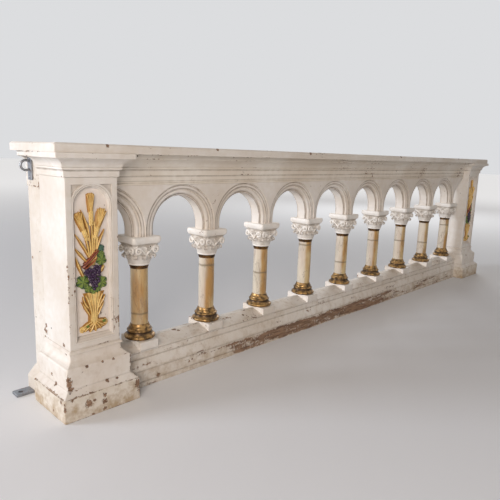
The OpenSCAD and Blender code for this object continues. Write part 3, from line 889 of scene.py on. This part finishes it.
def smooth_path(points, samples=24):
    """A curve through two ends and the way points between them: each coordinate is a cubic
    through the way points, spaced by chord length."""
    points = np.asarray(points, float)
    chord = np.concatenate([[0], np.cumsum(np.linalg.norm(np.diff(points, axis=0), axis=1))])
    degree = min(3, len(points) - 1)
    t = np.linspace(0, chord[-1], samples)
    return np.stack([np.polyval(np.polyfit(chord, column, degree), t) for column in points.T], -1)


def blade(points, half_width, lift, taper=(0.35, 1.0, 0.12), ribs=0, rib_depth=0.0, samples=22,
          base=2.0, round_tip=0.0):
    """A carved blade on the field: its middle line is a smooth path, its half width follows the
    taper from root to tip, and its section is a half round of the given lift with ribs. Over the
    last share round_tip of its length the width falls as a quarter ellipse."""
    s = np.linspace(0, 1, samples)
    if round_tip:
        s = np.concatenate([np.linspace(0, 1 - round_tip, samples)[:-1],
                            1 - round_tip + round_tip * np.sin(np.linspace(0, math.pi / 2, 9))])
    line = smooth_path([(x, z, base) for x, z in points], 96)
    line = np.stack([np.interp(s, np.linspace(0, 1, 96), column) for column in line.T], -1)
    half = half_width * np.interp(s, [0, 0.55, 1], taper)[:, None]
    if round_tip:
        end = np.clip((s - 1 + round_tip) / round_tip, 0, 1)[:, None]
        half = half * np.maximum(np.sqrt(np.clip(1 - end**2, 0, 1)), 0.12)
    tangent = unit_tangent(line[:, :2])
    t = np.linspace(-1, 1, 13)[None]
    dome = np.sqrt(np.clip(1 - t**2, 0, 1))
    grooves = 0.5 - 0.5 * np.cos(ribs * math.pi * (t + 1))
    swell = np.interp(s, [0, 0.1, 0.9, 1], [0.5, 1, 0.9, 0.4])[:, None]
    rise = lift * (dome * swell) - rib_depth * grooves * dome
    x = line[:, :1] - tangent[:, 1:] * half * t
    z = line[:, 1:2] + tangent[:, :1] * half * t
    top = np.stack([x, z, line[:, 2:3] + rise], -1)
    low = np.stack([x[:, ::-1], z[:, ::-1], 0 * x - 1.5], -1)
    # the blade's edges, grooves and underside count as sunk, where the oils are painted in shade
    ridge_proud = np.clip(1.2 - 2.2 * np.abs(t) ** 2 + 0 * x - 1.2 * (ribs > 0) * grooves, -1, 1)
    return np.concatenate([top, low], 1), np.concatenate([ridge_proud, 0 * x - 1], 1)


def pebble(x, z, height, radii, turn=0.0, around=12, rings=7):
    """A rounded grain or grape: an ellipsoid in rings from one end to the other, turned in the
    plane of the panel. The end rings are small and closed."""
    latitude = np.radians(np.linspace(-82, 82, rings))
    longitude = full_turn(around)
    along = radii[1] * np.sin(latitude)[:, None] + 0 * longitude
    across = radii[0] * np.cos(latitude)[:, None] * np.cos(longitude)
    up = radii[2] * np.cos(latitude)[:, None] * np.sin(longitude)
    u, v = rotated(across, along, turn)
    grid = np.stack([x + u, z + v, height + up], -1)
    # the grain's sides and back count as sunk, where the oils are painted in shade
    return grid, np.clip(up / radii[2] * 1.3, -1, 1)


def wheat_ear(x, z, turn, beard_long, beard_half, grains=4, round_tip=0.06):
    """Grids of one bearded ear: a ribbed fan of awns that widens to its cut-off top, over rows of
    grains set in pairs like a plait, all turned about the foot of the fan at (x, z)."""

    def turned_about(u, v):
        u, v = rotated(u, v, turn)
        return x + u, z + v

    parts = [blade([turned_about(0, up) for up in (-3, beard_long / 2, beard_long)], beard_half,
                   7.0, (0.62, 0.92, 1.0), ribs=5, rib_depth=4.0, round_tip=round_tip)]
    for step, longer in zip((-0.84, -0.42, 0, 0.42, 0.84), (-2.0, 1.6, 0.2, 2.6, -1.4)):
        awn = [turned_about(1.5 * step, -2), turned_about(0.5 * step * beard_half, beard_long / 2),
               turned_about(step * beard_half, beard_long + longer - 3 * abs(step))]
        parts.append(blade(awn, 1.7, 7.5, (0.7, 1.0, 0.7), base=3.5))
    for row in range(grains):
        for lean, out in ((-24, -3.6), (24, 3.6)):
            gx, gz = turned_about(out, -4 - 8.0 * row)
            parts.append(pebble(gx, gz, 6.0, (3.2, 6.0, 4.2), turn - lean))
        gx, gz = turned_about(0, -1 - 8.0 * row)
        parts.append(pebble(gx, gz, 8.0, (2.6, 5.4, 3.6), turn))
    return parts


def scroll_end(x, z, side):
    """A small scroll at one end of the mound: a rod whose spiral falls from 8 to 2.5 mm."""
    s = np.linspace(0, 1, 26)
    angle = np.radians(-100 + 430 * s)
    radius = 8.0 - 5.5 * s
    line = np.stack([x + side * radius * np.cos(angle), z + radius * np.sin(angle), 3.0 + 2.0 * s],
                    -1)
    tangent = unit_tangent(line[:, :2])
    across = np.stack([-tangent[:, 1], tangent[:, 0], 0 * s], -1)
    return rod_rings(line, across, np.array([[0, 0, 1.0]]), 3.0 - 0.8 * s, 8), 0.4


def vine_leaf(x, z, size, turn, lift=6.0, around=60, rings=9):
    """A vine leaf of five lobes: its outline is 0.70 + 0.30 |cos(2.5 a)|^0.7 of its size, with
    fine teeth, and its face swells between five sunk veins and droops at the edge."""
    angle = full_turn(around)
    lobes = 0.70 + 0.30 * np.abs(np.cos(2.5 * angle)) ** 0.7 + 0.035 * np.cos(25 * angle)
    share = np.linspace(0.06, 1, rings)[:, None]
    reach = size * share * lobes
    veins = np.abs(np.cos(2.5 * angle)) ** 10
    swell = 1 - share**2.2 + 0.25 * np.sin(share * math.pi) * np.cos(5 * angle)
    rise = lift * (0.35 + 0.65 * swell) - 1.6 * veins * np.sin(share * math.pi * 0.9)
    u, v = rotated(reach * np.cos(angle), reach * np.sin(angle), turn)
    top = np.stack([x + u, z + v, 2.0 + rise], -1)
    rim = top[-1:].copy()
    rim[..., 2] = -1.5
    # the veins, the drooping edge and the rim count as sunk, where the oils are painted in shade
    proud = np.clip(1 - 1.9 * veins - 0.9 * share**4, -1, 1)
    return np.concatenate([top, rim]), np.concatenate([proud, proud[-1:] * 0 - 1])


def sheaf():
    """Grids of the gilded carving, as (across, height, lift) about the panel's middle line."""
    parts = [blade([(-3, 424), (-2, 455), (-1, 492)], 13, 3.5, (1.0, 0.7, 0.3), base=1.0)]
    parts += wheat_ear(-2, 577, 0, 50, 12.6, 5, 0.07)
    parts += wheat_ear(-25, 526, 20, 52, 13.2, 4, 0.08)
    parts += wheat_ear(17, 532, -18, 54, 16.0, 4, 0.3)
    stalks = [[(-1, 540), (0, 500), (-1, 432)], [(-14, 545), (-8, 500), (-5, 432)],
              [(8, 548), (6, 500), (3, 432)], [(-19, 500), (-13, 475), (-9, 432)],
              [(12, 500), (11, 475), (7, 432)], [(17, 505), (14, 480), (10, 440)]]
    parts += [blade(line, 2.5, 6.0, (1, 1, 1), base=3.0) for line in stalks]
    lances = [([(-7, 498), (-16, 542), (-32, 583)], 4.2), ([(-10, 448), (-29, 484), (-52, 520)],
                                                           4.8),
              ([(-16, 434), (-34, 456), (-54, 481)], 5.0), ([(-29, 396), (-40, 422), (-50, 453)],
                                                            5.4),
              ([(9, 458), (22, 492), (38, 525)], 5.0), ([(14, 400), (26, 410), (35, 421)], 8.5)]
    parts += [blade(line, half, 7.5, (0.7, 1.0, 0.15), ribs=2, rib_depth=2.8, base=2.5)
              for line, half in lances]
    parts += [blade([(-2, 246), (0, 286), (2, 346)], 33, 7.5, (0.50, 0.50, 1.0), ribs=8,
                    rib_depth=3.6, base=1.5)]
    lower = [[(-6, 262), (-9, 296), (-24, 340)], [(-2, 262), (-3, 300), (-9, 345)],
             [(3, 262), (4, 300), (8, 345)], [(7, 262), (11, 298), (27, 338)]]
    parts += [blade(line, 3.6, 5.5, (1.1, 0.9, 0.7), base=5.0) for line in lower]
    sprigs = [[(-12, 278), (-24, 300), (-37, 323)], [(-14, 300), (-26, 316), (-32, 338)],
              [(10, 276), (20, 294), (31, 314)], [(14, 298), (24, 314), (36, 334)],
              [(8, 290), (16, 312), (24, 326)]]
    parts += [blade(line, 4.2, 6.5, (0.8, 1.0, 0.15), ribs=2, rib_depth=2.2, base=4.0)
              for line in sprigs]
    # the mound: a bank that swells under short overlapping leaves and two small scrolls
    parts += [blade([(-41, 240), (-14, 244), (12, 244), (39, 252)], 11.5, 5.5, (0.75, 1.0, 0.8),
                    ribs=3, rib_depth=1.5, base=1.0, round_tip=0.12)]
    mound = [([(-4, 262), (-18, 256), (-36, 247)], 5.5), ([(-2, 256), (-16, 246), (-31, 234)], 5.0),
             ([(0, 254), (-6, 242), (-14, 230)], 4.8), ([(2, 254), (4, 242), (4, 229)], 5.0),
             ([(4, 256), (14, 245), (22, 233)], 5.0), ([(6, 260), (20, 250), (36, 242)], 5.4),
             ([(6, 264), (20, 260), (38, 262)], 5.4)]
    parts += [blade(line, half, 5.5, (0.8, 1.0, 0.6), ribs=2, rib_depth=2.6, base=4.5,
                    round_tip=0.25) for line, half in mound]
    return parts + [scroll_end(-35, 242, -1), scroll_end(34, 252, 1)]


def oil_colours(name, lit, deep, gloss=0.35, spread_mm=16, metallic=0.0, speck=None):
    """Artist's oils over carved wood: the lit colour on the rounds, and a deeper one in brushed
    patches and in the hollows, where it is painted shade, under a glossy varnish."""
    finish, tree, place = material(name)
    patch = maths(tree, "MULTIPLY_ADD", noise(tree, place, spread_mm, 5.0), 0.9, -0.12)
    # painted shade: the hollows take the deeper colour, so the carving looks lit on its rounds
    hollow = ramp(tree, proud_value(tree), 0.5, -0.9, 0.0, 0.75)
    patches_and_shade = maths(tree, "ADD", patch, hollow, clamp=True)
    colour = blend(tree, ramp(tree, patches_and_shade, 0.2, 0.95), lit, deep)
    if speck:
        dots = ramp(tree, noise(tree, place, 5, 2.0), 0.6, 0.66, 0.0, 0.7)
        colour = blend(tree, dots, colour, speck)
    ripple = bump(tree, noise(tree, place, 3, 2.0), 0.2, 0.0006)
    return closed_with(finish, tree, colour, gloss, Metallic=metallic, Normal=ripple, IOR=1.5)


gilt = oil_colours("gold_oil_size_gilding", "#f4d489", "#a5742f", gloss=0.4, metallic=0.05,
                   speck="#d3a24e")
leaf_green = oil_colours("vine_green_oils", "#82953f", "#2a421f", gloss=0.4, spread_mm=12,
                         speck="#55794c")
grape_purple = oil_colours("grape_purple_oils", "#402647", "#140a18", gloss=0.24, spread_mm=9)
leaf_teal = oil_colours("blue_green_oils", "#54785f", "#233b38", gloss=0.4, spread_mm=9)
ribbon_red = oil_colours("ribbon_red_oils", "#a4532e", "#5c2818", gloss=0.35, spread_mm=12)

ground_paint = oil_paint("rose_white_oil_paint_on_ground", "#f4ebe3", "#ebe0d5", worn=0.0, dirt_and_shade=0.4)
ground_half, head_turn = 50.4, np.radians(np.linspace(0, 180, 41))
ground_edge = np.concatenate([[(-ground_half, 223), (ground_half, 223)],
                              np.stack([ground_half * np.cos(head_turn), panel_spring + ground_half
                                        * np.sin(head_turn)], -1)])
for side in ("left", "right"):
    panel_x, front_y = plan_mm(f"{side}_pier")[0][0], box_mm(f"{side}_pier")[0][1]
    ground = np.stack([np.column_stack([ground_edge * share, np.full(len(ground_edge), lift)])
                       + [0, 430 * (1 - share), 0]
                       for share, lift in ((1, -9.0), (1, -0.6), (0.995, 0))])
    piece(f"{side}_panel_ground", [surface(on_ground(ground, panel_x, front_y), 0.0)], ground_paint)

    draws = np.random.default_rng(7 if side == "left" else 8)
    bunch = []
    for height, first, count in ((419, 4, 3), (413, -20, 6), (408, -24, 6), (401, -20, 6),
                                 (394, -15, 5), (386, -11, 4), (378, -8, 4), (371, -4, 3),
                                 (363, 0, 2), (356, 3, 1)):
        for place in range(count):
            bunch.append(pebble(first + 8.0 * place + draws.uniform(-1.6, 1.6),
                                height + draws.uniform(-2, 2), 7.0 + draws.uniform(-1.5, 3.0),
                                (4.8, 5.0, 5.0), draws.uniform(0, 90)))
    leaves = [vine_leaf(27, 437, 17, -20, 5), vine_leaf(26, 455, 12, 60, 4),
              vine_leaf(-31, 380, 20, 200), vine_leaf(25, 372, 20, -40),
              vine_leaf(3, 350, 14, 270, 5), vine_leaf(-15, 358, 12, 230, 5),
              vine_leaf(15, 356, 12, 300, 4), vine_leaf(30, 257, 6, 40, 12),
              vine_leaf(-21, 249, 5, 200, 11)]
    ribbon = [blade([(-31, 421), (-8, 440), (18, 466)], 4.6, 8.5, (0.8, 1.0, 0.8), ribs=2,
                    rib_depth=1.8, base=5.0), blade([(-27, 431), (-6, 450), (14, 472)], 2.8, 8.0,
                                                    (0.8, 1.0, 0.6), base=4.5),
              blade([(-24, 416), (-4, 430), (14, 446)], 2.6, 7.0, (0.8, 1.0, 0.6), base=4.0)]
    for name, grids, finish, sharp in (
            ("wheat_sheaf", sheaf(), gilt, 50), ("grapes", bunch, grape_purple, 60),
            ("vine_leaves", leaves, leaf_green, 60),
            ("young_leaf", [vine_leaf(27, 471, 11, 100, 5)], leaf_teal, 60),
            ("ribbon", ribbon, ribbon_red, 50)):
        laid = [surface(on_ground(grid, panel_x, front_y), proud) for grid, proud in grids]
        piece(f"{side}_{name}", laid, finish, [f"{side}_relief"], sharp,
              weighted=False)

# ---- Back post and top slab ----------------------------------------------------------------
# Behind the left pier stands a plain post with a thicker head and a sloped foot; the joint between
# them shows as a dark line. One thick board, its top edge bevelled, covers the whole rail.

post_low, post_high = box_mm("back_post")
post_paint = oil_paint("oil_paint_on_back_post", "#eae5dd", "#dbd1c4", worn=0.5, dirt_and_shade=0.7,
                       stain=0.3, scuffs=[(-1409, 80, 210, 9), (-1409, 80, 185, 8),
                                          (-1409, 80, 143, 8), (-1409, 80, 113, 8),
                                          (-1409, 150, 420, 5), (-1434, 110, 40, 9)])
post_y = (seam + 0.6, 159.4)
left_low, left_high = box_mm("left_pier")
post_middle = ((left_low[0] + left_high[0]) / 2, (post_y[0] + post_y[1]) / 2)
post_half = ((left_high[0] - left_low[0]) / 2, (post_y[1] - post_y[0]) / 2)
post = framed(between(2, 636, 12), post_middle, post_half, worn_corner(21, 1.0, 3.5))
head_middle = (post_middle[0], (post_y[0] + post_high[1]) / 2)
head = framed(upright(634, under_slab - 14.3, 3), head_middle,
              (post_half[0], (post_high[1] - post_y[0]) / 2), 1.5)
foot_face, foot_inner = post_low[0], post_low[0] + 27
foot_section, foot_proud = eased([(foot_face, 0), (foot_inner, 0), (foot_inner, 76),
                                  (foot_face, 45)], 2.2)
foot_across = [post_y[0], post_y[0] + 1.6, *np.linspace(90, post_high[1] - 10, 6),
               post_high[1] - 1.6, post_high[1]]
foot = carried(foot_section, foot_across)
foot[[0, -1]] += (foot[[1, -2]].mean(axis=1, keepdims=True) - foot[[0, -1]]) * [0.02, 0, 0.02]
piece("back_post_board", [post, head, surface(foot, foot_proud)], post_paint,
      ["back_post"])

slab_low, slab_high = box_mm("top_slab")
slab_profile = [(-6, slab_low[2]), (-0.3, slab_low[2]), (0, slab_low[2] + 4),
                (0, slab_high[2] - 4.2), (-4.2, slab_high[2]), (-8, slab_high[2])]
slab_paint = oil_paint("oil_paint_on_top_board", "#ebe6df", "#dcd3c7", worn=0.4, dirt_and_shade=0.5,
                       scuffs=[(-1452, -110, 758, 6), (-1300, -110, 758, 7), (-905, -110, 758, 6),
                               (-420, -110, 757, 8), (300, -110, 758, 7), (990, -110, 758, 6),
                               (-1452, 40, 758, 5), (-700, 20, 760, 30), (500, 60, 760, 25)])
piece("top_board", [framed(slab_profile, *plan_mm("top_slab"), 2.5, ease=0.8)], slab_paint,
      ["top_slab"])

# ---- Steel fittings ------------------------------------------------------------------------
# On the left end, a screwed plate with a ring near the top, and a drilled strap on the floor.


def dull_steel(name):
    """Hot-dipped steel that has gone dull: even grey, darker in patches, brown in others."""
    finish, tree, place = material(name)
    colour = blend(tree, noise(tree, place, 14, 5.0), "#a9adb3", "#7c7d80")
    rusty = ramp(tree, noise(tree, place, 9, 6.0), 0.56, 0.7, 0.0, 0.7)
    colour = blend(tree, rusty, colour, "#7a4a2c")
    pits = bump(tree, noise(tree, place, 2, 2.0), 0.25, 0.0004)
    return closed_with(finish, tree, colour, ramp(tree, rusty, 0.0, 1.0, 0.42, 0.8),
                       Metallic=ramp(tree, rusty, 0.0, 1.0, 0.95, 0.1), Normal=pits)


steel = dull_steel("dull_galvanised_steel")
hook_low, hook_high = box_mm("hook_bracket")
plate_y = ((hook_low[1] + hook_high[1]) / 2, (hook_high[1] - hook_low[1]) / 2)
plate = framed([(-2.5, hook_low[2]), (0, hook_low[2] + 0.8), (0, hook_high[2] - 0.8),
                (-2.5, hook_high[2])], (hook_high[0] - 2.5, plate_y[0]), (2.5, plate_y[1]), 1.0,
               flank=1.5, ease=0.5)
# the loop is a round bar bent to a C, with both ends let into the plate
loop_turn = np.radians(np.linspace(46, 314, 60))
loop_x, loop_z = hook_low[0] + 17.5, hook_high[2] - 26
loop_path = np.stack([loop_x + 14 * np.cos(loop_turn), plate_y[0] + 0 * loop_turn,
                      loop_z + 14 * np.sin(loop_turn)], -1)
loop_out = np.stack([np.cos(loop_turn), 0 * loop_turn, np.sin(loop_turn)], -1)
loop = rod_rings(loop_path, loop_out, np.array([[0, 1.0, 0]]), 3.45, 16)
screws = []
for screw_z in (hook_low[2] + 8, hook_high[2] - 6):
    turned_screw = turned([(0.6, 0), (4.6, 0), (4.4, 0.9), (3.2, 2.0), (1.2, 2.5), (0.6, 2.5)],
                          (0, 0), 20)
    points = turned_screw[0]
    turned_screw[0][:] = np.stack([hook_high[0] - 4.9 - points[:, 2], plate_y[0] + points[:, 0],
                                   screw_z + points[:, 1]], -1)
    screws.append(turned_screw)
piece("hook_plate", [plate, *screws], steel, ["hook_bracket"])
piece("hook_loop", [surface(loop, 0.3)], steel, ["hook_bracket"])

lug_low, lug_high = box_mm("floor_lug")
strap_turn = full_turn(72)
hole_x, hole_y, hole_r = lug_low[0] + 18, (lug_low[1] + lug_high[1]) / 2, 7.0
half_width = (lug_high[1] - lug_low[1]) / 2
reach = ray_to_box(np.sin(strap_turn), np.cos(strap_turn), half_width, lug_high[0] - hole_x)
back_reach = 18.0 / np.maximum(-np.cos(strap_turn), 1e-6)
reach = np.where(np.cos(strap_turn) < 0, np.minimum(reach, back_reach), reach)
rings = []
for share, height in ((0.0, 0.2), (0.0, 7.3), (0.03, 7.9), (0.5, 7.9), (0.96, 7.9), (1.0, 7.2),
                      (1.0, 0.8), (0.97, 0.1), (0.0, 0.1)):
    radius = hole_r + share * (reach - hole_r)
    rings.append(np.stack([hole_x + radius * np.cos(strap_turn), hole_y + radius
                           * np.sin(strap_turn), lug_low[2] + height + 0 * radius], -1))
piece("floor_strap", [surface(np.stack(rings), 0.2, capped=False)], steel, ["floor_lug"])

# ---- Studio --------------------------------------------------------------------------------
# A pale room with a cool key light behind the left end, a warm fill in front of it and a weak
# one at the right.


def lamp(name, spot, aim, watts, width, height, colour="#ffffff"):
    """One soft area lamp, standing at spot and facing aim, both in metres."""
    data = bpy.data.lights.new(name, "AREA")
    data.shape, data.size, data.size_y, data.energy = "RECTANGLE", width, height, watts
    data.color = linear(colour)[:3]
    holder = bpy.data.objects.new(name, data)
    holder.location = spot
    holder.rotation_euler = (Vector(aim) - Vector(spot)).to_track_quat("-Z", "Y").to_euler()
    bpy.context.scene.collection.objects.link(holder)


bpy.ops.mesh.primitive_plane_add(size=60, location=(0, 0, 0))
floor = bpy.context.active_object
floor.name = "studio_floor"
floor_finish, tree, far = material("pale_studio_floor")
paper = node(tree, "BsdfPrincipled", {"Base Color": linear("#eceef1"), "Roughness": 0.9})
# towards its far edge the floor fades into the pale room, for the camera only
far = node(tree, "VectorMath", {0: far}, operation="LENGTH").outputs["Value"]
far = ramp(tree, far, 1.2, 10.0, 0.0, 0.56, "SMOOTHSTEP")
rays = node(tree, "LightPath").outputs
glow = maths(tree, "MULTIPLY", far, rays["Is Camera Ray"])
glow = node(tree, "Emission", {"Color": (1, 1, 1, 1), "Strength": glow})
both = node(tree, "AddShader", {0: paper.outputs[0], 1: glow.outputs[0]})
out = node(tree, "OutputMaterial")
tree.links.new(both.outputs[0], out.inputs["Surface"])
floor.data.materials.append(floor_finish)

world = bpy.data.worlds.new("pale_room")
bpy.context.scene.world = world
world.use_nodes = True
tree = world.node_tree
tree.nodes.clear()
# the camera and mirrors see the pale room, everything else only its weak warm light
rays = node(tree, "LightPath").outputs
seen = maths(tree, "MAXIMUM", rays["Is Camera Ray"], rays["Is Glossy Ray"])
fill = node(tree, "Background", {"Color": linear("#fff4ec"), "Strength": 0.2})
pale = node(tree, "Background", {"Color": linear("#dcdddf"), "Strength": 1.0})
choose = node(tree, "MixShader", {0: seen, 1: fill.outputs[0], 2: pale.outputs[0]})
out = node(tree, "OutputWorld")
tree.links.new(choose.outputs[0], out.inputs["Surface"])

lamp("key_from_left_rear", (-6.9, 3.8, 2.4), (-0.6, 0, 0.35), 320, 2.6, 1.6, "#f0f5ff")
lamp("fill_from_front", (-4.3, -2.7, 1.9), (-1.0, 0, 0.4), 112, 2.0, 1.5, "#fff4ec")
lamp("fill_from_right", (4.6, 2.4, 2.6), (0.3, 0, 0.4), 60, 2.5, 2.0)

# the camera stands to the left front of the rail at eye height and looks along it
spot = Vector((-2.008, -1.34992, 0.74761))
yaw, pitch, roll = math.radians(45.623), math.radians(-10.855), math.radians(1.938)
ahead = Vector((math.sin(yaw) * math.cos(pitch), math.cos(yaw) * math.cos(pitch), math.sin(pitch)))
level = Vector((math.cos(yaw), -math.sin(yaw), 0))
over = level.cross(ahead)
right = math.cos(roll) * level + math.sin(roll) * over
up = -math.sin(roll) * level + math.cos(roll) * over
lens = bpy.data.cameras.new("long_view")
lens.lens, lens.sensor_width, lens.clip_start, lens.clip_end = 36.16, 36.0, 0.05, 100
camera = bpy.data.objects.new("long_view", lens)
camera.matrix_world = Matrix((right, up, -ahead)).transposed().to_4x4()
camera.location = spot
bpy.context.scene.collection.objects.link(camera)
bpy.context.scene.camera = camera
bpy.context.scene.view_settings.view_transform = "Standard"
